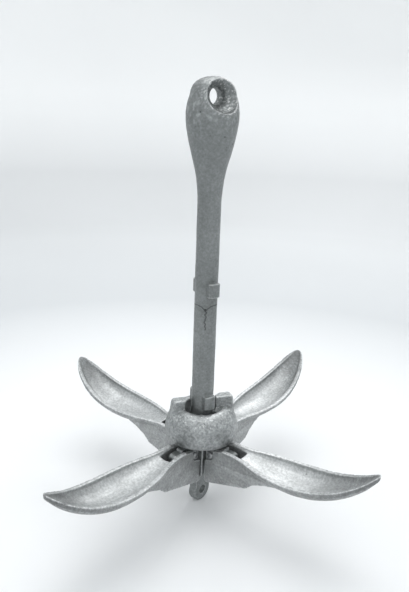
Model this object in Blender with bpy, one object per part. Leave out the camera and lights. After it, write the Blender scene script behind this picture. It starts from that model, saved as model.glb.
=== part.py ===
"""Folding grapnel anchor with four flukes and a sliding locking collar.

The anchor stands upright with its flukes open and the collar down. +Z runs up the shank,
+X and +Y run out along two of the flukes, and z = 0 is the bottom of the tripping eye.
"""
import math

import bmesh
import bpy
from mathutils import Matrix, Vector

# ---------------------------------------------------------------- driving dimensions
# SHANK_R is in metres. Every other length is a multiple of the shank's radius.
SHANK_R = 0.008
GAP = 0.04                      # clearance between pieces that touch, about 0.3 mm
DATUM = 0.3                     # heights below count from this far under the tripping eye

# shank and rope eye
BULB_TOP_Z = 38.5
EYE_Z = 37.0                    # centre of the rope hole
EYE_AZ = -20.0                  # degrees: the way the rope hole looks
EYE_R = 0.62                    # narrowest radius of the rope hole
EYE_MOUTH_R = 1.58              # radius of its flared mouths
EYE_LIFT = 0.26                 # how far each mouth sits above the narrow middle
LUG_AZ = -18.0                  # degrees: the bayonet lugs, and the same plus 180
LUG_R = 1.45
LUG_HALF_W = 0.55
LUG_H = 1.25
LUG_LOW_Z = 10.26
LUG_MID_Z = 20.72

# crown
POST_HALF = 1.15
POST_LOW_Z = 3.8
POST_TOP_Z = 7.7
FIN_HALF = 0.36
FIN_OUT_R = 4.1
FIN_LOW_Z = 4.5
FIN_TOP_Z = 6.66
FIN_STEP_R = 3.0                # the fin stands a little higher inside this radius
FIN_STEP = 0.2
TRIP_EYE_R = 1.12
TRIP_EYE_HALF = 0.42
TRIP_HOLE_R = 0.42

# fluke hinge
PIVOT_R = 1.8
PIVOT_Z = 6.05
PIN_R = 0.28
PIN_HEAD_R = 0.34
PIN_HEAD_T = 0.14

# flukes
FLUKE_ROOT_R = 2.3
FLUKE_TIP_R = 17.22
RIM_Z = 7.1
TIP_RISE = 3.05
RISE_FROM_R = 6.0
SLOT_END_R = 4.85
SLOT_HALF = 0.63
CHEEK_TOP_HALF = 1.08
CHEEK_LOW_HALF = 0.96
EYE_CHEEK_HALF = 0.84           # half width over the thinned eyes round the pin
CHEEK_LOW_Z = 3.15
STOP_GAP = 0.14                 # between the cheeks and the post

# locking collar
COLLAR_LOW_Z = 7.3
COLLAR_FLOOR_Z = 10.12
EAR_TOP_Z = 10.98
COLLAR_R = 3.38
BORE_R = 1.24
KEY_HALF = 0.66
KEY_R = 1.72
KEY_AZ = (LUG_AZ, -86.0)
EAR_AZ = 58.0
EAR_HALF = 0.44
EAR_OUT_R = 2.97

FLUKES = {"front_right": 0, "back_right": 90, "back_left": 180, "front_left": 270}
# how far each fluke's tip sits above or below the design angle, from play at its stop, in degrees
PLAY = {"front_right": 0.9, "back_right": 1.9, "back_left": -0.9, "front_left": -1.9}


# ---------------------------------------------------------------- helpers
def clear_scene():
    for obj in list(bpy.data.objects):
        bpy.data.objects.remove(obj, do_unlink=True)


def make_material(name, colour, roughness, metallic):
    mat = bpy.data.materials.new(name)
    mat.use_nodes = True
    shader = mat.node_tree.nodes["Principled BSDF"]
    shader.inputs["Base Color"].default_value = (*colour, 1.0)
    shader.inputs["Roughness"].default_value = roughness
    shader.inputs["Metallic"].default_value = metallic
    return mat


def add_object(name, bm, material=None, cutter=False):
    """Turn a mesh drawn in shank radii into an object in metres."""
    bmesh.ops.recalc_face_normals(bm, faces=bm.faces)
    bm.transform(Matrix.Scale(SHANK_R, 4))
    bm.transform(Matrix.Translation((0.0, 0.0, -DATUM * SHANK_R)))
    mesh = bpy.data.meshes.new(name)
    bm.to_mesh(mesh)
    bm.free()
    obj = bpy.data.objects.new(name, mesh)
    bpy.context.scene.collection.objects.link(obj)
    if material:
        mesh.materials.append(material)
    if cutter:
        obj.hide_render = True
        obj.display_type = "WIRE"
    return obj


def loft(bm, rings):
    """Skin a list of rings, each a list of points in the same order, and cap both ends."""
    rows = [[bm.verts.new(p) for p in ring] for ring in rings]
    for low, high in zip(rows, rows[1:]):
        for i in range(len(low)):
            j = (i + 1) % len(low)
            bm.faces.new((low[i], low[j], high[j], high[i]))
    bm.faces.new(rows[0])
    bm.faces.new(rows[-1])


def turned(bm, profile, segments=40):
    """Turn a profile of (radius, z) points about Z; its ends are closed flat."""
    rings = []
    for radius, z in profile:
        ring = []
        for i in range(segments):
            a = math.tau * i / segments
            ring.append(Vector((radius * math.cos(a), radius * math.sin(a), z)))
        rings.append(ring)
    loft(bm, rings)


def prism(bm, outline, low, high):
    """Extrude a closed outline of (x, y) points from z = low to z = high."""
    loft(bm, [[Vector((x, y, z)) for x, y in outline] for z in (low, high)])


def arc(cx, cy, radius, start, end, steps):
    """Points on an arc, with angles in degrees."""
    points = []
    for i in range(steps + 1):
        a = math.radians(start + (end - start) * i / steps)
        points.append((cx + radius * math.cos(a), cy + radius * math.sin(a)))
    return points


def smooth_step(t):
    t = min(max(t, 0.0), 1.0)
    return t * t * (3.0 - 2.0 * t)


def through(points, x):
    """Read a smooth curve through a short list of (x, value) points."""
    if x <= points[0][0]:
        return points[0][1]
    if x >= points[-1][0]:
        return points[-1][1]
    k = max(i for i in range(len(points) - 1) if points[i][0] <= x)
    (x0, y0), (x1, y1) = points[k], points[k + 1]

    def slope(i):
        if i in (0, len(points) - 1):
            return 0.0
        return (points[i + 1][1] - points[i - 1][1]) / (points[i + 1][0] - points[i - 1][0])

    h = x1 - x0
    t = (x - x0) / h
    m0, m1 = slope(k) * h, slope(k + 1) * h
    return ((2 * t ** 3 - 3 * t ** 2 + 1) * y0 + (t ** 3 - 2 * t ** 2 + t) * m0
            + (3 * t ** 2 - 2 * t ** 3) * y1 + (t ** 3 - t ** 2) * m1)


def boolean(target, tool, operation):
    mod = target.modifiers.new(operation.lower(), "BOOLEAN")
    mod.operation = operation
    mod.object = tool
    mod.solver = "EXACT"


def bake(obj):
    """Apply the object's modifiers to its mesh."""
    graph = bpy.context.evaluated_depsgraph_get()
    mesh = bpy.data.meshes.new_from_object(obj.evaluated_get(graph))
    obj.modifiers.clear()
    obj.data = mesh


def combine(target, tools, operation):
    for tool in tools:
        boolean(target, tool, operation)
    bpy.context.view_layer.update()
    bake(target)
    for tool in tools:
        bpy.data.objects.remove(tool, do_unlink=True)


def shade(obj, degrees=35):
    obj.data.shade_smooth()
    obj.data.set_sharp_from_angle(angle=math.radians(degrees))


# ---------------------------------------------------------------- shank casting
def shank_profile():
    """The round shank and the bulb above it, from the crown to the top."""
    swell = [(28.6, 1.0), (30.46, 1.14), (31.54, 1.36), (32.96, 1.74), (34.4, 2.05),
             (35.57, 2.16), (36.4, 2.07), (37.1, 1.86)]
    swell_z = swell[0][0]
    cap_z, cap_r = swell[-1]
    profile = [(1.0, POST_TOP_Z - 0.6), (1.0, 18.0), (1.0, 28.0)]
    swell_steps = 13
    for i in range(swell_steps + 1):
        z = swell_z + (cap_z - swell_z) * i / swell_steps
        profile.append((through(swell, z), z))
    cap_steps = 6
    smallest = 0.05
    for i in range(1, cap_steps + 1):
        a = math.pi / 2 * i / cap_steps
        radius = max(cap_r * max(math.cos(a), 0.0) ** 0.9, smallest)
        profile.append((radius, cap_z + (BULB_TOP_Z - cap_z) * math.sin(a)))
    return profile


def rope_eye_cutter():
    """A hole through the bulb, narrow inside, with mouths that flare outwards and upwards."""
    rings = []
    reach, steps, segments = 2.7, 9, 28
    narrow_half, flare_length = 0.35, 1.4
    for i in range(-steps, steps + 1):
        along = reach * i / steps
        flare = smooth_step((abs(along) - narrow_half) / flare_length)
        radius = EYE_R + (EYE_MOUTH_R - EYE_R) * flare
        ring = []
        for k in range(segments):
            a = math.tau * k / segments
            ring.append(Vector((along, radius * math.cos(a), radius * math.sin(a) + EYE_LIFT * flare)))
        rings.append(ring)
    bm = bmesh.new()
    loft(bm, rings)
    bm.transform(Matrix.Rotation(math.radians(EYE_AZ), 4, "Z"))
    bm.transform(Matrix.Translation((0, 0, EYE_Z)))
    return add_object("rope_eye_cutter", bm, cutter=True)


def bayonet_lug(z_low, azimuth):
    """A block on the shank with bevelled outer corners."""
    inner = 0.4
    shoulder, face_half = LUG_R - 0.16, LUG_HALF_W - 0.2
    outline = [(inner, -LUG_HALF_W), (shoulder, -LUG_HALF_W), (LUG_R, -face_half),
               (LUG_R, face_half), (shoulder, LUG_HALF_W), (inner, LUG_HALF_W)]
    bm = bmesh.new()
    prism(bm, outline, z_low, z_low + LUG_H)
    bm.transform(Matrix.Rotation(math.radians(azimuth), 4, "Z"))
    return add_object("lug", bm)


def crown_post():
    """The square post, drawn in to the tripping eye below and to the round shank above."""
    bm = bmesh.new()
    levels = [(1.7, TRIP_EYE_HALF, 0.9), (2.65, TRIP_EYE_HALF, 1.0),
              (POST_LOW_Z, POST_HALF, POST_HALF), (POST_TOP_Z, POST_HALF, POST_HALF),
              (POST_TOP_Z + 0.7, 0.72, 0.72)]
    rings = []
    for z, hx, hy in levels:
        rings.append([Vector((sx * hx, sy * hy, z)) for sx, sy in ((1, 1), (-1, 1), (-1, -1), (1, -1))])
    loft(bm, rings)
    return add_object("post", bm)


def tripping_eye():
    """A round plate under the post, facing +X and -X."""
    bm = bmesh.new()
    rim = TRIP_EYE_R
    edge = 0.12
    turned(bm, [(rim - edge, -TRIP_EYE_HALF), (rim, edge - TRIP_EYE_HALF),
                (rim, TRIP_EYE_HALF - edge), (rim - edge, TRIP_EYE_HALF)], segments=28)
    bm.transform(Matrix.Rotation(math.radians(90), 4, "Y"))
    bm.transform(Matrix.Translation((0, 0, DATUM + TRIP_EYE_R)))
    return add_object("eye", bm)


def crown_fin(azimuth):
    """One hinge lug: an upright plate with a step in its top and a blunt outer end."""
    corner = 0.3
    step_top = FIN_TOP_Z + FIN_STEP
    outline = [(0.6, FIN_LOW_Z - 0.5), (FIN_OUT_R - 1.1, FIN_LOW_Z)]
    outline += arc(FIN_OUT_R - corner, FIN_LOW_Z + 1.0, corner, -40, 0, 3)
    outline += arc(FIN_OUT_R - corner, FIN_TOP_Z - corner, corner, 0, 90, 5)
    outline += [(FIN_STEP_R + 0.1, FIN_TOP_Z), (FIN_STEP_R, step_top), (0.6, step_top)]
    bm = bmesh.new()
    prism(bm, outline, -FIN_HALF, FIN_HALF)
    bm.transform(Matrix.Rotation(math.radians(90), 4, "X"))
    bm.transform(Matrix.Rotation(math.radians(azimuth), 4, "Z"))
    return add_object("fin", bm)


def cross_bar(name, radius, half_length, azimuth, r, z):
    """A round bar across a fluke's plane, used to cut holes."""
    bm = bmesh.new()
    turned(bm, [(radius, -half_length), (radius, half_length)], segments=20)
    bm.transform(Matrix.Rotation(math.radians(90), 4, "X"))
    bm.transform(Matrix.Translation((r, 0, z)))
    bm.transform(Matrix.Rotation(math.radians(azimuth), 4, "Z"))
    return add_object(name, bm, cutter=True)


def build_shank(material):
    bm = bmesh.new()
    turned(bm, shank_profile())
    shank = add_object("shank", bm, material)
    adds = [crown_post(), tripping_eye()]
    adds += [crown_fin(azimuth) for azimuth in FLUKES.values()]
    for z in (LUG_LOW_Z, LUG_MID_Z):
        adds += [bayonet_lug(z, LUG_AZ), bayonet_lug(z, LUG_AZ + 180)]
    combine(shank, adds, "UNION")
    cuts = [rope_eye_cutter(), cross_bar("trip_hole", TRIP_HOLE_R, 2.0, 90, 0, DATUM + TRIP_EYE_R)]
    for azimuth in FLUKES.values():
        cuts.append(cross_bar("pin_hole", PIN_R + GAP, 0.6, azimuth, PIVOT_R, PIVOT_Z))
    combine(shank, cuts, "DIFFERENCE")
    shade(shank)


# ---------------------------------------------------------------- flukes
def rim_z(r):
    t = max(r - RISE_FROM_R, 0.0) / (FLUKE_TIP_R - RISE_FROM_R)
    return RIM_Z + TIP_RISE * t ** 3.4


def rim_half_width(r):
    shape = [(2.3, 1.12), (4.9, 1.19), (7.2, 1.8), (9.6, 2.14), (11.8, 2.1), (14.0, 1.83),
             (15.8, 1.46), (FLUKE_TIP_R, 1.16)]
    t = (r - FLUKE_ROOT_R) / (FLUKE_TIP_R - FLUKE_ROOT_R)
    return through(shape, r) * math.sqrt(max(1.0 - t ** 15, 0.0))


def scoop_depth(r):
    shape = [(2.3, 0.12), (4.8, 0.34), (7.2, 0.82), (10.0, 1.05), (12.5, 1.0), (15.0, 0.66),
             (16.6, 0.3), (17.3, 0.1)]
    return through(shape, r)


def scoop_section(r):
    """The spoon's section at one radius: a flat rim, a hollow above and a round belly below."""
    w = max(rim_half_width(r), 0.08)
    top = rim_z(r)
    depth = scoop_depth(r) * min(1.0, w)
    rim = min(0.36, 0.35 * w)
    edge = 0.28 + 0.2 * smooth_step((r - RISE_FROM_R) / 10.0)
    floor = 0.45
    scoop_steps, belly_steps = 13, 12
    points = [(w, top), (w - rim, top)]
    for i in range(1, scoop_steps):
        a = math.pi * i / scoop_steps
        points.append(((w - rim) * math.cos(a), top - depth * math.sin(a) ** 0.8))
    points += [(rim - w, top), (-w, top)]
    belly = depth + floor - edge
    for i in range(belly_steps + 1):
        y = w * (2 * i / belly_steps - 1)
        points.append((y, top - edge - belly * (1 - (y / w) ** 2)))
    return [Vector((r, y, z)) for y, z in points]


def fluke_spoon():
    bm = bmesh.new()
    rings = []
    steps = 34
    for i in range(steps + 1):
        t = 1.0 - (1.0 - i / steps) ** 1.7
        rings.append(scoop_section(FLUKE_ROOT_R + (FLUKE_TIP_R - FLUKE_ROOT_R) * t))
    loft(bm, rings)
    return bm


def cheek_outline():
    """The root's side view as (r, z): the stop face, the web below and the top under the scoop."""
    stop = POST_HALF + STOP_GAP
    return [(stop + 0.15, CHEEK_LOW_Z), (5.77, 4.38), (5.9, 4.42), (6.5, 4.98), (7.6, 5.38), (9.2, 5.72),
            (9.2, 5.95), (7.0, 6.3), (5.0, 6.72), (3.5, 6.88), (2.9, 7.2), (stop, 7.2),
            (stop, CHEEK_LOW_Z + 0.17)]


def fluke_keel():
    """The two cheeks and the web beyond them, as one body that thins downwards."""
    bm = bmesh.new()
    full_width_z = 6.95
    thin_from_r, thin_over, thinning = 5.5, 4.0, 0.35
    rings = []
    for side in (-1, 1):
        ring = []
        for r, z in cheek_outline():
            t = (z - CHEEK_LOW_Z) / (full_width_z - CHEEK_LOW_Z)
            half = CHEEK_LOW_HALF + (CHEEK_TOP_HALF - CHEEK_LOW_HALF) * t
            half -= thinning * smooth_step((r - thin_from_r) / thin_over)
            ring.append(Vector((r, side * half, z)))
        rings.append(ring)
    loft(bm, rings)
    return add_object("keel", bm)


def slot_cutter():
    bm = bmesh.new()
    outline = [(0.0, -SLOT_HALF), (SLOT_END_R, -SLOT_HALF), (SLOT_END_R, SLOT_HALF), (0.0, SLOT_HALF)]
    prism(bm, outline, 2.0, 9.0)
    return add_object("slot_cutter", bm, cutter=True)


def heel_trim():
    """Cuts the spoon's root back to the round heel, which has to turn past the post."""
    bm = bmesh.new()
    heel = PIVOT_R - POST_HALF - GAP
    outline = [(0.5, 8.0), (0.5, 6.1)]
    outline += arc(PIVOT_R, PIVOT_Z, heel, 170, 80, 7)
    outline += [(2.62, 6.84), (3.22, 6.97), (3.7, 8.0)]
    prism(bm, outline, -2.0, 2.0)
    bm.transform(Matrix.Rotation(math.radians(90), 4, "X"))
    return add_object("heel_trim", bm, cutter=True)


def eye_relief(side):
    """Thins one cheek round the pin, so that the rivet head sits in a hollow."""
    outline = [(0.6, 5.3), (1.2, 5.36), (1.45, 5.5)]
    outline += arc(PIVOT_R, PIVOT_Z, PIN_HEAD_R + 2 * GAP, -100, 35, 8)
    outline += [(2.32, 6.7), (2.4, 8.0), (0.6, 8.0)]
    bm = bmesh.new()
    low, high = sorted((side * EYE_CHEEK_HALF, side * 2.0))
    prism(bm, outline, low, high)
    bm.transform(Matrix.Rotation(math.radians(90), 4, "X"))
    return add_object("eye_relief", bm, cutter=True)


def build_fluke_mesh(material):
    fluke = add_object("fluke", fluke_spoon(), material)
    combine(fluke, [fluke_keel()], "UNION")
    hole = cross_bar("hole", PIN_R + GAP, 2.0, 0, PIVOT_R, PIVOT_Z)
    combine(fluke, [eye_relief(1), eye_relief(-1), slot_cutter(), heel_trim(), hole], "DIFFERENCE")
    return fluke


def build_flukes(material):
    base = build_fluke_mesh(material)
    for side, azimuth in FLUKES.items():
        fluke = bpy.data.objects.new("fluke_" + side, base.data.copy())
        bpy.context.scene.collection.objects.link(fluke)
        pivot = Vector((PIVOT_R, 0.0, PIVOT_Z - DATUM)) * SHANK_R
        fluke.data.transform(Matrix.Translation(-pivot))
        fluke.data.transform(Matrix.Rotation(math.radians(-PLAY[side]), 4, "Y"))
        turn = Matrix.Rotation(math.radians(azimuth), 4, "Z")
        fluke.location = turn @ pivot
        fluke.rotation_euler = (0.0, 0.0, math.radians(azimuth))
        shade(fluke)
    bpy.data.objects.remove(base, do_unlink=True)


def build_pins(material):
    """Riveted pins: a round bar with a low domed head at each end."""
    reach = EYE_CHEEK_HALF + GAP
    half = reach + PIN_HEAD_T
    dome = [(PIN_HEAD_R * 0.55, -half), (PIN_HEAD_R * 0.9, -half + 0.05), (PIN_HEAD_R, -reach)]
    profile = dome + [(PIN_R, -reach), (PIN_R, reach)]
    profile += [(radius, -z) for radius, z in reversed(dome)]
    for side, azimuth in FLUKES.items():
        bm = bmesh.new()
        turned(bm, profile, 20)
        bm.transform(Matrix.Rotation(math.radians(90), 4, "X"))
        pin = add_object("pin_" + side, bm, material)
        pin.data.transform(Matrix.Translation((0.0, 0.0, DATUM * SHANK_R)))
        turn = Matrix.Rotation(math.radians(azimuth), 4, "Z")
        pin.location = turn @ (Vector((PIVOT_R, 0.0, PIVOT_Z - DATUM)) * SHANK_R)
        pin.rotation_euler = (0.0, 0.0, math.radians(azimuth))
        shade(pin)


# ---------------------------------------------------------------- locking collar
def bell_outline():
    """The bell's outer side as (radius, z), from the skirt over its round shoulder into the recess."""
    shoulder_r, shoulder_z = 1.92, 7.8
    outline = [(3.2, COLLAR_LOW_Z), (COLLAR_R - 0.04, COLLAR_LOW_Z + 0.12)]
    steps = 9
    for k in range(steps + 1):
        a = math.pi / 2 * k / steps
        outline.append((shoulder_r + (COLLAR_R - shoulder_r) * max(math.cos(a), 0.0) ** 0.92,
                        shoulder_z + (COLLAR_FLOOR_Z - shoulder_z) * math.sin(a)))
    outline += [(1.6, COLLAR_FLOOR_Z - 0.2), (0.6, COLLAR_FLOOR_Z - 0.26)]
    return outline


def ear(azimuth):
    """One of the two upright ears that stop the collar's turn."""
    inner = 1.02
    corner = 0.3
    outline = [(inner, -EAR_HALF), (EAR_OUT_R - 0.5, -EAR_HALF - 0.06)]
    outline += arc(EAR_OUT_R - corner - 0.05, -EAR_HALF + 0.2, corner, -75, 0, 3)
    outline += arc(EAR_OUT_R - corner - 0.05, EAR_HALF - 0.2, corner, 0, 75, 3)
    outline += [(EAR_OUT_R - 0.5, EAR_HALF + 0.06), (inner, EAR_HALF)]
    bm = bmesh.new()
    levels = [(8.0, 1.11, 1.9), (8.6, 1.075, 1.6), (9.2, 1.05, 1.25), (9.8, 1.025, 1.06), (10.6, 1.0, 1.0),
              (EAR_TOP_Z - 0.14, 0.98, 0.98), (EAR_TOP_Z, 0.94, 0.9)]
    loft(bm, [[Vector((x * reach, y * spread, z)) for x, y in outline] for z, reach, spread in levels])
    bm.transform(Matrix.Rotation(math.radians(azimuth), 4, "Z"))
    return add_object("ear", bm)


def bore_cutter():
    """The bore, the bell's hollow underside, and the keyways that pass the lugs."""
    bm = bmesh.new()
    turned(bm, [(2.95, 6.5), (2.95, 8.0), (2.6, 8.8), (1.9, 9.2), (BORE_R, 9.3), (BORE_R, 12.0)], 36)
    return add_object("bore_cutter", bm, cutter=True)


def keyway_cutter(azimuth):
    """A slot across the bore that lets one pair of bayonet lugs through."""
    bm = bmesh.new()
    outline = [(-KEY_R, -KEY_HALF), (KEY_R, -KEY_HALF), (KEY_R, KEY_HALF), (-KEY_R, KEY_HALF)]
    prism(bm, outline, 8.0, 12.0)
    bm.transform(Matrix.Rotation(math.radians(azimuth), 4, "Z"))
    return add_object("keyway_cutter", bm, cutter=True)


def build_collar(material):
    bm = bmesh.new()
    turned(bm, bell_outline(), 48)
    collar = add_object("locking_collar", bm, material)
    combine(collar, [ear(EAR_AZ), ear(EAR_AZ + 180)], "UNION")
    cuts = [bore_cutter()] + [keyway_cutter(azimuth) for azimuth in KEY_AZ]
    combine(collar, cuts, "DIFFERENCE")
    shade(collar)


def main():
    clear_scene()
    shank_iron = make_material("shank_iron", (0.24, 0.25, 0.25), 0.55, 0.7)
    collar_iron = make_material("collar_iron", (0.33, 0.34, 0.34), 0.5, 0.7)
    fluke_iron = make_material("fluke_iron", (0.45, 0.46, 0.47), 0.42, 0.8)
    pin_steel = make_material("pin_steel", (0.3, 0.3, 0.31), 0.45, 0.9)
    build_shank(shank_iron)
    build_collar(collar_iron)
    build_flukes(fluke_iron)
    build_pins(pin_steel)


main()
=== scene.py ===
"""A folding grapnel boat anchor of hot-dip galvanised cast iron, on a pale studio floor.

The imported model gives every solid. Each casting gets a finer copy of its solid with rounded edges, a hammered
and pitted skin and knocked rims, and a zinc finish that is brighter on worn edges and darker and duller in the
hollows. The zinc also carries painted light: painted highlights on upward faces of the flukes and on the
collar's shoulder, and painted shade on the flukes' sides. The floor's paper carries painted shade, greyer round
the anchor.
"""

import math

import bmesh
import bpy
import numpy as np
from mathutils import Euler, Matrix, Vector, kdtree, noise


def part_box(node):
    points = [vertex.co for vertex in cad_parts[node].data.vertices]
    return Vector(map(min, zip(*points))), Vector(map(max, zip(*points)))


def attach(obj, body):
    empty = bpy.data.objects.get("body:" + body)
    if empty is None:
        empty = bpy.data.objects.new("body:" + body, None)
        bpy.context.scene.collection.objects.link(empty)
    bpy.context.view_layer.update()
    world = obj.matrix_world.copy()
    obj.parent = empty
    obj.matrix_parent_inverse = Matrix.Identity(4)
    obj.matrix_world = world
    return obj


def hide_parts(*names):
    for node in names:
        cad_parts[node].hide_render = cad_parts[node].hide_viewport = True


MM = 0.001

# Camera, in the anchor's frame: metres and degrees
CAMERA_PLACE = (0.246629, -0.308185, 0.281379)
CAMERA_TURN = (73.266, -1.795, 39.888)
CAMERA_LENS = 36.189
CAMERA_SENSOR = 36.0
CAMERA_SHIFT = (0.0088, -0.00185)

# The finer meshes are made of cells of these sizes, and then smoothed this many times
CELL = 0.45 * MM
PIN_CELL = 0.3 * MM
FLUKE_SMOOTHING = 5
SHANK_SMOOTHING = 5
COLLAR_SMOOTHING = 4
PIN_SMOOTHING = 3

# Bright flecks are this strong at most: a painted highlight on the collar's shoulder, and rope wear
# with a painted highlight round the rope eye
GLINT = 0.48

# The rope eye: the way its hole looks, and how far its middle is below the top
EYE_AZIMUTH = math.radians(-20)
EYE_BELOW_TOP = 12 * MM

FLUKE_AZIMUTHS = {"front_right": 0, "back_right": 90, "back_left": 180, "front_left": 270}


# ---------- stage ----------

def add_object(name, data):
    obj = bpy.data.objects.new(name, data)
    bpy.context.scene.collection.objects.link(obj)
    return obj


def make_camera():
    data = bpy.data.cameras.new("camera")
    data.sensor_width = CAMERA_SENSOR
    data.lens = CAMERA_LENS
    data.shift_x, data.shift_y = CAMERA_SHIFT
    data.clip_start = 0.01
    camera = add_object("camera", data)
    camera.location = CAMERA_PLACE
    camera.rotation_euler = Euler([math.radians(a) for a in CAMERA_TURN], "XYZ")
    bpy.context.scene.camera = camera


def make_stage():
    """A round floor that sweeps up into a wall, so that every view has the same plain backdrop."""
    floor_radius, sweep, height, segments, steps = 1.15, 0.45, 1.9, 96, 12
    profile = [(0.06 * k * k, 0.0) for k in range(1, 4)]
    profile += [(floor_radius * k / 6, 0.0) for k in range(4, 7)]
    for k in range(1, steps + 1):
        a = math.pi / 2 * k / steps
        profile.append((floor_radius + sweep * math.sin(a), sweep * (1 - math.cos(a))))
    profile.append((floor_radius + sweep, height))
    bm = bmesh.new()
    centre = bm.verts.new((0, 0, 0))
    rings = []
    for r, z in profile:
        ring = []
        for k in range(segments):
            a = math.tau * k / segments
            ring.append(bm.verts.new((r * math.cos(a), r * math.sin(a), z)))
        rings.append(ring)
    for k in range(segments):
        bm.faces.new((centre, rings[0][k], rings[0][(k + 1) % segments]))
    for low, high in zip(rings, rings[1:]):
        for k in range(segments):
            j = (k + 1) % segments
            bm.faces.new((low[k], high[k], high[j], low[j]))
    mesh = bpy.data.meshes.new("studio_floor")
    bm.to_mesh(mesh)
    bm.free()
    mesh.shade_smooth()
    floor = add_object("studio_floor", mesh)
    floor.data.materials.append(floor_material())


def floor_material():
    """White paper with painted shade: greyer with distance from the anchor, darkest half a metre out, light up
    the wall.
    """
    tree = Tree("studio_paper")
    place = tree.add("ShaderNodeTexCoord").outputs["Object"]
    length = tree.add("ShaderNodeVectorMath", operation="LENGTH")
    tree.link(place, length.inputs[0])
    soft = tree.add("ShaderNodeTexNoise")
    tree.link(place, soft.inputs["Vector"])
    soft.inputs["Scale"].default_value = 2.2
    soft.inputs["Detail"].default_value = 1.0
    reach = 2.0
    shares = tree.spread(length.outputs["Value"], 0.0, reach, 0.0, 1.0)
    # painted shade: the paper is painted greyer in a ring round the anchor and lighter up the wall, as light
    # falls there
    tones = ((0.0, (0.84, 0.848, 0.855)), (0.24, (0.84, 0.848, 0.855)), (0.52, (0.62, 0.637, 0.65)),
             (1.0, (0.70, 0.713, 0.722)), (1.45, (0.71, 0.72, 0.727)), (1.62, (0.95, 0.955, 0.955)))
    shade = tree.ramp(shares, [(distance / reach, tone_and_painted_light) for distance, tone_and_painted_light in tones])
    tint = tree.mix(soft.outputs["Fac"], shade, tree.scaled(shade, 1.06))
    tree.link(tint, tree.shader.inputs["Base Color"])
    tree.shader.inputs["Roughness"].default_value = 0.75
    tree.shader.inputs["Specular IOR Level"].default_value = 0.2
    return tree.material


def make_light(name, size, power, place, aim):
    data = bpy.data.lights.new(name, "AREA")
    data.shape = "DISK"
    data.size = size
    data.energy = power
    light = add_object(name, data)
    light.location = place
    light.rotation_euler = (Vector(aim) - Vector(place)).to_track_quat("-Z", "Y").to_euler()


def make_lights():
    """One wide overhead lamp a little behind the anchor, a weak one in front, and an even pale sky."""
    away = Vector((-CAMERA_PLACE[0], -CAMERA_PLACE[1], 0)).normalized()
    make_light("overhead", 1.0, 4.25, away * 0.22 + Vector((0, 0, 1.15)), (0, 0, 0.05))
    turned_away = Euler((0, 0, math.radians(-20))).to_matrix() @ away
    make_light("back_window", 0.55, 3.0, turned_away * 1.25 + Vector((0, 0, 0.95)), (0, 0, 0.06))
    make_light("front_fill", 0.6, 0.8, away * -0.75 + Vector((0, 0, 1.0)), (0, 0, 0.1))
    world = bpy.data.worlds.new("studio_sky")
    world.use_nodes = True
    sky = world.node_tree.nodes["Background"]
    sky.inputs["Color"].default_value = (0.95, 0.98, 1.0, 1)
    sky.inputs["Strength"].default_value = 0.95
    bpy.context.scene.world = world
    bpy.context.scene.view_settings.view_transform = "Standard"


# ---------- material nodes ----------

class Tree:
    """A material with one Principled shader, and short ways to add and join its nodes."""

    def __init__(self, name):
        self.material = bpy.data.materials.new(name)
        self.material.use_nodes = True
        self.nodes = self.material.node_tree.nodes
        self.link = self.material.node_tree.links.new
        self.shader = self.nodes["Principled BSDF"]

    def add(self, kind, **settings):
        node = self.nodes.new(kind)
        for name, value in settings.items():
            setattr(node, name, value)
        return node

    def attribute(self, name):
        return self.add("ShaderNodeAttribute", attribute_name=name).outputs["Fac"]

    def noise(self, place, scale, detail=3.0, roughness=0.55, distortion=0.0):
        node = self.add("ShaderNodeTexNoise")
        self.link(place, node.inputs["Vector"])
        node.inputs["Scale"].default_value = scale
        node.inputs["Detail"].default_value = detail
        node.inputs["Roughness"].default_value = roughness
        node.inputs["Distortion"].default_value = distortion
        return node.outputs["Fac"]

    def cells(self, place, scale):
        node = self.add("ShaderNodeTexVoronoi", feature="F1")
        self.link(place, node.inputs["Vector"])
        node.inputs["Scale"].default_value = scale
        return node.outputs["Distance"]

    def ramp(self, value, stops):
        node = self.add("ShaderNodeValToRGB")
        self.link(value, node.inputs["Fac"])
        elements = node.color_ramp.elements
        while len(elements) < len(stops):
            elements.new(0.5)
        for element, (position, colour) in zip(elements, stops):
            element.position = position
            element.color = (*colour, 1) if isinstance(colour, tuple) else (colour, colour, colour, 1)
        return node.outputs["Color"]

    def spread(self, value, low, high, to_low, to_high):
        """value between low and high, moved to between to_low and to_high."""
        node = self.add("ShaderNodeMapRange")
        self.link(value, node.inputs["Value"])
        for name, number in zip(("From Min", "From Max", "To Min", "To Max"), (low, high, to_low, to_high)):
            node.inputs[name].default_value = number
        return node.outputs["Result"]

    def mix(self, factor, a, b, kind="MIX"):
        node = self.add("ShaderNodeMix", data_type="RGBA", blend_type=kind)
        for socket, value in ((node.inputs[0], factor), (node.inputs[6], a), (node.inputs[7], b)):
            if isinstance(value, bpy.types.NodeSocket):
                self.link(value, socket)
            else:
                socket.default_value = value
        return node.outputs[2]

    def scaled(self, colour, amount):
        return self.mix(1.0, colour, (amount, amount, amount, 1), "MULTIPLY")

    def bump(self, height, strength, distance, below=None):
        node = self.add("ShaderNodeBump")
        self.link(height, node.inputs["Height"])
        node.inputs["Strength"].default_value = strength
        node.inputs["Distance"].default_value = distance
        if below is not None:
            self.link(below, node.inputs["Normal"])
        return node.outputs["Normal"]


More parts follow.
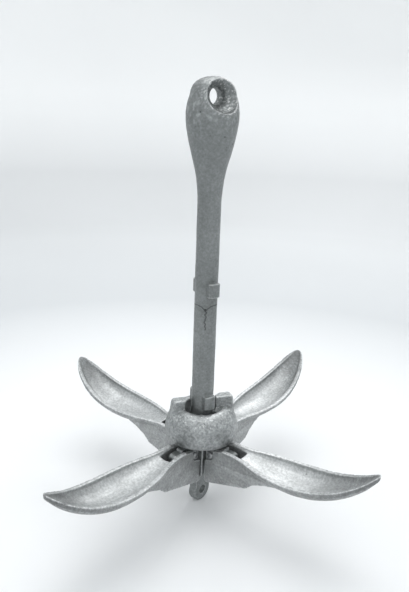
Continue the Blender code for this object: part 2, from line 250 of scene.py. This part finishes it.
def zinc(name, dull, bright, worn, rough, patch=55.0, grain=0.5, metallic=0.85, fleck=0.9):
    """Galvanised iron. dull and bright are the patchy skin's colours and worn is the metal worn bright on
    edges.

    patch is how many patches there are to the metre, grain is how rough the skin is and fleck how speckled.
    It reads four masks that the mesh carries: edge (convex and worn), hollow (corners, pits and cracks, made
    darker and rougher), glint (bright flecks: painted highlight on upward faces, and rope wear with painted
    highlight round the rope eye) and tone (0.5 is plain, more is brighter and less is darker; it holds random
    patches and wear, and
    painted light: lighter upward faces and painted shade on the flukes' sides).
    """
    tree = Tree(name)
    place = tree.add("ShaderNodeTexCoord").outputs["Object"]
    patches = tree.noise(place, patch, 4.0, 0.6, 0.3)
    flecks = tree.noise(place, 620.0, 3.0, 0.7)
    sand = tree.noise(place, 1100.0, 2.0, 0.7)
    spangle = tree.cells(place, 420.0)

    colour = tree.ramp(patches, [(0.30, dull), (0.70, bright)])
    colour = tree.mix(fleck, colour, tree.ramp(flecks, [(0.30, 0.30), (0.5, 0.5), (0.70, 0.74)]), "OVERLAY")
    colour = tree.mix(0.30, colour, tree.ramp(spangle, [(0.0, 0.6), (0.8, 0.4)]), "OVERLAY")
    # painted light comes in through the tone mask: lighter upward faces and darker fluke sides, beside random
    # patches and wear
    tones = tree.ramp(tree.attribute("tone_and_painted_light"), [(0.0, 0.2), (0.5, 0.5), (1.0, 0.8)])
    colour = tree.mix(0.85, colour, tones, "OVERLAY")
    rub_and_glint = tree.ramp(flecks, [(0.42, 0.0), (0.58, 1.0)])
    edge = tree.mix(1.0, tree.ramp(tree.attribute("edge"), [(0.25, 0.0), (0.8, 1.0)]),
                    tree.mix(0.6, (1, 1, 1, 1), rub_and_glint), "MULTIPLY")
    colour = tree.mix(edge, colour, (*worn, 1))
    # painted highlight: near-white flecks where the glint mask is set; round the rope eye they also stand for
    # rope wear
    glint = tree.mix(1.0, tree.ramp(tree.attribute("glint"), [(0.2, 0.0), (0.6, 1.0)]), rub_and_glint, "MULTIPLY")
    colour = tree.mix(glint, colour, (0.80, 0.81, 0.80, 1))
    hollow = tree.ramp(tree.attribute("hollow"), [(0.25, 0.0), (1.0, 0.8)])
    colour = tree.mix(hollow, colour, tree.scaled(colour, 0.3))
    tree.link(colour, tree.shader.inputs["Base Color"])

    smoother = tree.spread(patches, 0.3, 0.7, rough + 0.05, rough - 0.05)
    grainy = tree.spread(sand, 0.3, 0.7, -0.05, 0.08)
    total = tree.add("ShaderNodeMath", operation="ADD")
    tree.link(smoother, total.inputs[0])
    tree.link(grainy, total.inputs[1])
    dulled = tree.add("ShaderNodeMath", operation="MULTIPLY_ADD")
    tree.link(tree.attribute("hollow"), dulled.inputs[0])
    dulled.inputs[1].default_value = 0.25
    tree.link(total.outputs[0], dulled.inputs[2])
    tree.link(dulled.outputs[0], tree.shader.inputs["Roughness"])

    under = tree.bump(flecks, 0.5 * grain, 0.35 * MM)
    tree.link(tree.bump(sand, grain, 0.12 * MM, under), tree.shader.inputs["Normal"])
    tree.shader.inputs["Metallic"].default_value = metallic
    return tree.material


# ---------- castings ----------

class Casting:
    """The fine mesh of one CAD solid, as arrays: points, outward normals and the edges between them."""

    def __init__(self, node, cell, rounding):
        bm = bmesh.new()
        bm.from_mesh(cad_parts[node].data)
        bmesh.ops.remove_doubles(bm, verts=bm.verts, dist=0.001 * MM)
        mesh = bpy.data.meshes.new("cast_" + node)
        bm.to_mesh(mesh)
        bm.free()
        self.obj = add_object("cast_" + node, mesh)
        self.cell = cell
        remesh = self.obj.modifiers.new("Remesh", "REMESH")
        remesh.mode = "VOXEL"
        remesh.voxel_size = cell
        smooth = self.obj.modifiers.new("Smooth", "SMOOTH")
        smooth.iterations = rounding
        graph = bpy.context.evaluated_depsgraph_get()
        fine = bpy.data.meshes.new_from_object(self.obj.evaluated_get(graph))
        self.obj.modifiers.clear()
        self.obj.data = fine
        bpy.data.meshes.remove(mesh)
        fine.shade_smooth()
        self.read()
        self.links = np.zeros(len(fine.edges) * 2, np.int32)
        fine.edges.foreach_get("vertices", self.links)
        self.links = self.links.reshape(-1, 2)
        self.mask = {"edge": 0.0, "hollow": 0.0, "glint": 0.0, "tone_and_painted_light": 0.5}
        self.find_corners()

    def read(self):
        mesh = self.obj.data
        count = len(mesh.vertices)
        points = np.zeros(count * 3, np.float32)
        mesh.vertices.foreach_get("co", points)
        normals = np.zeros(count * 3, np.float32)
        mesh.vertex_normals.foreach_get("vector", normals)
        self.points = points.reshape(-1, 3).astype(float)
        self.normals = normals.reshape(-1, 3).astype(float)

    def push(self, amount):
        """Moves each point along its normal by amount, in metres."""
        self.points = self.points + self.normals * np.asarray(amount)[:, None]
        self.write()

    def write(self):
        self.obj.data.vertices.foreach_set("co", self.points.astype(np.float32).ravel())
        self.obj.data.update()
        self.read()

    def averaged(self, values, times):
        """values, evened out over neighbouring points that many times."""
        a, b = self.links.T
        count = len(self.points)
        degree = np.bincount(a, minlength=count) + np.bincount(b, minlength=count)
        columns = np.atleast_2d(values.T)
        for _ in range(times):
            around = [np.bincount(a, c[b], count) + np.bincount(b, c[a], count) for c in columns]
            columns = np.array([
                0.5 * c + 0.5 * total / np.maximum(degree, 1) for c, total in zip(columns, around)])
        return columns.T if values.ndim > 1 else columns[0]

    def find_corners(self):
        """Marks edges and corners, from how far each point stands off its smoothed surroundings."""
        reach = 1.1 * MM
        times = max(2, round((reach / self.cell) ** 2 * 2))
        stand_off = ((self.points - self.averaged(self.points, times)) * self.normals).sum(1)
        self.mask["edge"] = np.clip(stand_off / (0.30 * MM), 0, 1)
        self.mask["hollow"] = np.clip(-stand_off / (0.35 * MM), 0, 1)

    def rough(self, wavelength, seed):
        """Smooth random values from about -1 to 1, one for each point."""
        offset = Vector((seed * 3.7, seed * 11.3, seed * 7.9))
        scale = 1 / wavelength
        return np.array([noise.noise(Vector(p) * scale + offset) for p in self.points])

    def tree(self):
        tree = kdtree.KDTree(len(self.points))
        for k, p in enumerate(self.points):
            tree.insert(p, k)
        tree.balance()
        return tree

    def pits(self, count, radius, depth, seed, where=None):
        """Small round dents, as bubbles leave in a casting."""
        rng = np.random.default_rng(seed)
        tree = self.tree()
        choice = np.arange(len(self.points)) if where is None else np.nonzero(where)[0]
        sink = np.zeros(len(self.points))
        for k in rng.choice(choice, min(count, len(choice)), replace=False):
            size = radius * rng.uniform(0.5, 1.2)
            deep = depth * rng.uniform(0.5, 1.2)
            for _, j, distance in tree.find_range(self.points[k], size):
                sink[j] = max(sink[j], deep * (1 - (distance / size) ** 2))
        self.mask["hollow"] = np.clip(self.mask["hollow"] + 0.9 * sink / depth, 0, 1)
        self.push(-sink)

    def groove(self, route, width, depth):
        """An uneven narrow channel along a route of points, as a cold joint in a casting leaves."""
        sink = np.zeros(len(self.points))
        tree = self.tree()
        for k, p in enumerate(route):
            size = width * (1.0 + 0.5 * noise.noise(Vector((k * 0.83, 1.7, 5.1))))
            for _, j, distance in tree.find_range(p, size):
                sink[j] = max(sink[j], depth * (1 - (distance / size) ** 2))
        self.mask["hollow"] = np.clip(self.mask["hollow"] + sink / depth, 0, 1)
        self.push(-sink)

    def skin(self, seed, lumps=0.10, hammer=0.045, sand=0.02):
        """The uneven surface of a sand casting under a thick zinc coat. Depths are in millimetres."""
        height = lumps * self.rough(9 * MM, seed) + hammer * self.rough(2.6 * MM, seed + 1)
        height = height + sand * self.rough(1.1 * MM, seed + 2)
        self.push(height * MM)

    def finish(self, node, body, material):
        for name, values in self.mask.items():
            layer = self.obj.data.attributes.new(name, "FLOAT", "POINT")
            spread = np.broadcast_to(values, len(self.points)).astype(np.float32)
            layer.data.foreach_set("value", np.ascontiguousarray(spread))
        self.obj.data.materials.clear()
        self.obj.data.materials.append(material)
        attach(self.obj, body)
        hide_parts(node)


def smooth_step(x, low, high):
    t = np.clip((x - low) / (high - low), 0, 1)
    return t * t * (3 - 2 * t)


def make_flukes(material):
    knock_depth = 1.3 * MM
    for number, (side, azimuth) in enumerate(FLUKE_AZIMUTHS.items()):
        node = "fluke_" + side
        cast = Casting(node, CELL, FLUKE_SMOOTHING)
        a = math.radians(azimuth)
        out = cast.points[:, 0] * math.cos(a) + cast.points[:, 1] * math.sin(a)
        root, tip = out.min(), out.max()
        share = (out - root) / (tip - root)
        steps = 60
        step = np.minimum((share * steps).astype(int), steps - 1)
        top = np.full(steps, -1.0)
        np.maximum.at(top, step, cast.points[:, 2])
        rim = np.interp(share * steps, np.arange(steps) + 0.5, top)
        below_rim = rim - cast.points[:, 2]
        up = cast.normals[:, 2]
        # Painted light on each fluke: upward scoop faces are painted lighter, and less darkened in their
        # hollows, as highlight from the overhead lamp; faces turned sideways and down are painted darker, as
        # shade; the flat rim tops are lighter, as wear and painted sheen. Each fluke is also darker towards its
        # tip.
        lit_scoop = smooth_step(up, 0.15, 0.5) * smooth_step(below_rim, 0.4 * MM, 1.5 * MM) * (share > 0.2)
        rim_wear_and_sheen = smooth_step(up, 0.5, 0.8) * (1 - smooth_step(below_rim, 0.5 * MM, 1.3 * MM))
        shaded_flank = smooth_step(-up, -0.3, 0.15)
        to_tip = smooth_step(share, 0.55, 0.95)
        wear_and_sheen_patches = np.clip(0.5 + 1.6 * cast.rough(1.9 * MM, 120 + number), 0, 1)
        tone_and_painted_light = 0.5 + 0.20 * lit_scoop * (1 - 1.5 * to_tip) + 0.40 * rim_wear_and_sheen * wear_and_sheen_patches * (1 - to_tip)
        tone_and_painted_light -= shaded_flank * (0.24 + 0.10 * to_tip) + 0.30 * to_tip
        tone_and_painted_light += 0.10 * cast.rough(7 * MM, 40 + number)
        cast.mask["tone_and_painted_light"] = np.clip(tone_and_painted_light, 0, 1)
        sparse = np.clip(cast.rough(1.3 * MM, 150 + number) * 2.2 - 0.5, 0, 1)
        # painted highlight: bright flecks on the rim tops and upward scoop faces, fading out towards the tip
        cast.mask["glint"] = np.clip((0.8 * rim_wear_and_sheen + 0.35 * lit_scoop) * sparse, 0, 1) * (1 - to_tip)
        cast.mask["hollow"] *= 1 - 0.6 * lit_scoop

        knocks = np.clip(cast.rough(3.4 * MM, 70 + number) - 0.18, 0, 1) * cast.mask["edge"]
        knocks *= smooth_step(share, 0.3, 0.6)
        cast.push(-knock_depth * knocks)
        cast.mask["hollow"] = np.clip(cast.mask["hollow"] + 1.6 * knocks, 0, 1)
        cast.skin(10 * number + 1, 0.12, 0.06, 0.04)
        cast.pits(40, 0.75 * MM, 0.32 * MM, 100 + number)
        cast.finish(node, node, material)


def cold_joint(cast):
    """A sagging seam round one side of the shank under the middle lugs, and a crack running down from it."""
    radius, middle = 8 * MM, math.radians(-51)
    seam_height, crack_foot, seam_sag = 157 * MM, 142 * MM, 2.6 * MM
    crack_start = seam_height - 2.2 * MM
    seam = []
    for k in range(-50, 51):
        turn = math.radians(1.6 * k)
        sag = seam_sag * math.exp(-(k / 12) ** 2)
        wander = 0.5 * MM * noise.noise(Vector((k * 0.21, 0.3, 8.8)))
        z = seam_height - sag + wander
        seam.append((radius * math.cos(middle + turn), radius * math.sin(middle + turn), z))
    crack = []
    steps = 60
    for k in range(steps):
        down = k / steps
        turn = middle + 0.16 * noise.noise(Vector((down * 9, 4.2, 1.1)))
        z = crack_start + (crack_foot - seam_height) * down
        crack.append((radius * math.cos(turn), radius * math.sin(turn), z))
    cast.groove(seam, 0.55 * MM, 0.3 * MM)
    cast.groove(crack, 0.65 * MM, 0.45 * MM)


def make_shank(material):
    cast = Casting("shank", CELL, SHANK_SMOOTHING)
    low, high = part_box("shank")
    height = cast.points[:, 2]
    bulb = smooth_step(height, high.z - 45 * MM, high.z - 20 * MM)
    crown = 1 - smooth_step(height, low.z + 40 * MM, low.z + 55 * MM)
    worn = bulb * np.clip(cast.rough(2.4 * MM, 8) * 1.6 + 0.5 * cast.rough(1.1 * MM, 9) - 0.1, 0, 1)
    # what hangs in the rope eye rubs the bulb all round both mouths; the bright flecks there are that wear
    # and a painted highlight
    eye = np.array((0.0, 0.0, high.z - EYE_BELOW_TOP))
    through_eye = np.array((math.cos(EYE_AZIMUTH), math.sin(EYE_AZIMUTH), 0.0))
    from_eye = cast.points - eye
    off_axis = np.linalg.norm(from_eye - np.outer(from_eye @ through_eye, through_eye), axis=1)
    rub_and_glint = 1 - smooth_step(off_axis, 10 * MM, 19 * MM)
    cast.mask["glint"] = GLINT * rub_and_glint * np.clip(0.35 + 1.8 * cast.rough(1.2 * MM, 14), 0, 1)
    streaks = cast.rough(14 * MM, 5)
    cast.mask["tone_and_painted_light"] = np.clip(0.50 + 0.08 * streaks + 0.50 * worn + 0.08 * crown, 0, 1)
    cast.skin(3, 0.14, 0.05, 0.03)
    cold_joint(cast)
    cast.pits(30, 0.85 * MM, 0.35 * MM, 31, height > high.z - 110 * MM)
    cast.pits(90, 0.6 * MM, 0.25 * MM, 32)
    cast.finish("shank", "shank", material)


def make_collar(material):
    cast = Casting("locking_collar", CELL, COLLAR_SMOOTHING)
    low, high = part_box("locking_collar")
    share = (cast.points[:, 2] - low.z) / (high.z - low.z)
    mottle = cast.rough(2.0 * MM, 61)
    # painted highlight: the bell's upward-facing shoulder, all the way round, is painted lighter and flecked
    # bright, as the lamp overhead would light it. The collar is also darker towards its foot.
    shoulder = smooth_step(cast.normals[:, 2], 0.05, 0.5) * smooth_step(share, 0.3, 0.6)
    foot = 1 - smooth_step(share, 0.0, 0.4)
    cast.mask["tone_and_painted_light"] = np.clip(0.52 + 0.28 * mottle + 0.10 * shoulder - 0.16 * foot, 0, 1)
    cast.mask["glint"] = GLINT * shoulder * np.clip(0.15 + 2.0 * cast.rough(1.1 * MM, 64), 0, 1)
    cast.skin(6, 0.12, 0.07, 0.045)
    cast.pits(70, 0.6 * MM, 0.28 * MM, 51)
    cast.finish("locking_collar", "collar", material)


def make_pins(material):
    for number, side in enumerate(FLUKE_AZIMUTHS):
        node = "pin_" + side
        cast = Casting(node, PIN_CELL, PIN_SMOOTHING)
        cast.mask["tone_and_painted_light"] = np.clip(0.45 + 0.1 * cast.rough(2 * MM, 80 + number), 0, 1)
        cast.push(0.03 * MM * cast.rough(1.5 * MM, 90 + number))
        cast.finish(node, "shank", material)


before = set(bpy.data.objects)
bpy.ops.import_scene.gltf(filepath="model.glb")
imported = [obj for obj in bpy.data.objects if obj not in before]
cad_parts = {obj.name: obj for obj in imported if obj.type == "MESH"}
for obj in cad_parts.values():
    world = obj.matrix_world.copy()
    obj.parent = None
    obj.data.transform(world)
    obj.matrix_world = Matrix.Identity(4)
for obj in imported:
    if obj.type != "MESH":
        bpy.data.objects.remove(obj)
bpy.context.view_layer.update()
make_camera()
make_stage()
make_lights()
fluke_zinc = zinc("fluke_zinc", (0.385, 0.395, 0.395), (0.485, 0.497, 0.498), (0.72, 0.73, 0.73), 0.40,
                  grain=0.75, metallic=0.64, fleck=0.6)
shank_zinc = zinc("shank_zinc", (0.205, 0.217, 0.215), (0.272, 0.285, 0.285), (0.50, 0.51, 0.51), 0.44,
                  patch=42.0, grain=0.5, metallic=0.7, fleck=0.45)
collar_zinc = zinc("collar_zinc", (0.26, 0.272, 0.272), (0.38, 0.393, 0.394), (0.62, 0.63, 0.63), 0.38,
                   patch=75.0, grain=0.8, metallic=0.78, fleck=0.75)
pin_zinc = zinc("pin_zinc", (0.22, 0.23, 0.235), (0.32, 0.33, 0.335), (0.55, 0.56, 0.56), 0.38)
make_flukes(fluke_zinc)
make_shank(shank_zinc)
make_collar(collar_zinc)
make_pins(pin_zinc)
